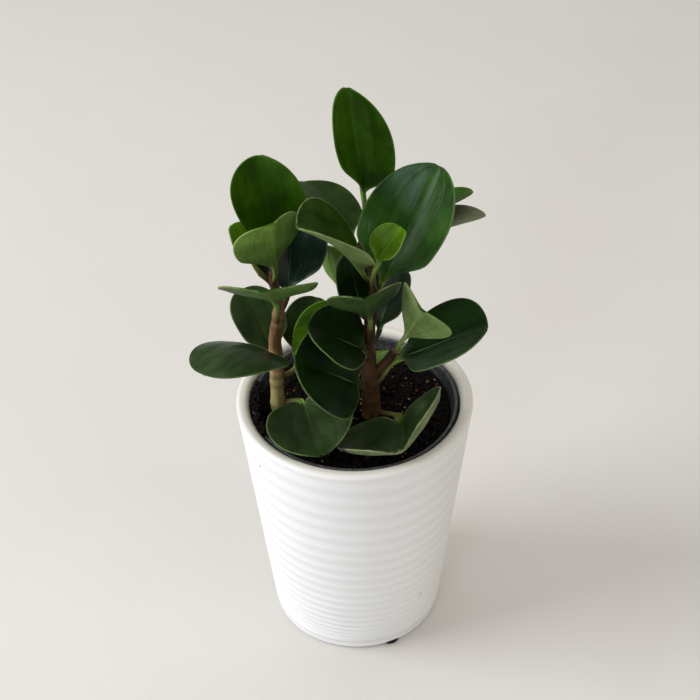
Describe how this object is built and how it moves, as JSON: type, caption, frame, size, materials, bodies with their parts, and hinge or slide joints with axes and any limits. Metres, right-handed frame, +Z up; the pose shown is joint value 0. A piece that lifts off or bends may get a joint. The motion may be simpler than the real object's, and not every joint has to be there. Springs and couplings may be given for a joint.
{
  "type": "potted peperomia",
  "caption": "Peperomia plant with thick glossy spoon-shaped leaves on two woody stems, in a black nursery pot inside a white ribbed tapered cover pot.",
  "frame": {"origin": "centre of the flat underside of the cover pot, on the surface it stands on", "axes": "+Z up along the pot's axis, -Y the side the picture is taken from, +X to its right"},
  "size_m": [0.1484, 0.1242, 0.3137],
  "materials": {
    "glazed_earthenware": "satin white glaze over thrown ribs",
    "black_rubber": "matte",
    "black_polypropylene": "satin moulded",
    "potting_mix": "loose dark peat with perlite and bark",
    "woody_stem": "satin bark, green to brown",
    "mature_leaf": "waxy, dark green",
    "young_leaf": "waxy, yellow-green"
  },
  "bodies": {
    "root": {"cover_pot": "glazed_earthenware", "foot_pad_1": "black_rubber", "foot_pad_2": "black_rubber", "foot_pad_3": "black_rubber", "nursery_pot": "black_polypropylene", "soil": "potting_mix", "left_stem": "woody_stem", "right_stem": "woody_stem", "left_leaf_01": "mature_leaf", "left_leaf_02": "young_leaf", "left_leaf_03": "young_leaf", "left_leaf_04": "mature_leaf", "left_leaf_05": "mature_leaf", "left_leaf_06": "mature_leaf", "left_leaf_07": "mature_leaf", "left_leaf_08": "mature_leaf", "left_leaf_09": "mature_leaf", "right_leaf_01": "mature_leaf", "right_leaf_02": "mature_leaf", "right_leaf_03": "mature_leaf", "right_leaf_04": "young_leaf", "right_leaf_05": "mature_leaf", "right_leaf_06": "young_leaf", "right_leaf_07": "mature_leaf", "right_leaf_08": "mature_leaf", "right_leaf_09": "mature_leaf", "right_leaf_10": "mature_leaf", "right_leaf_11": "young_leaf", "right_leaf_12": "mature_leaf", "right_leaf_13": "mature_leaf", "right_leaf_14": "mature_leaf", "right_leaf_15": "mature_leaf", "right_leaf_16": "young_leaf", "right_leaf_17": "young_leaf", "right_leaf_18": "young_leaf"}
  },
  "joints": []
}
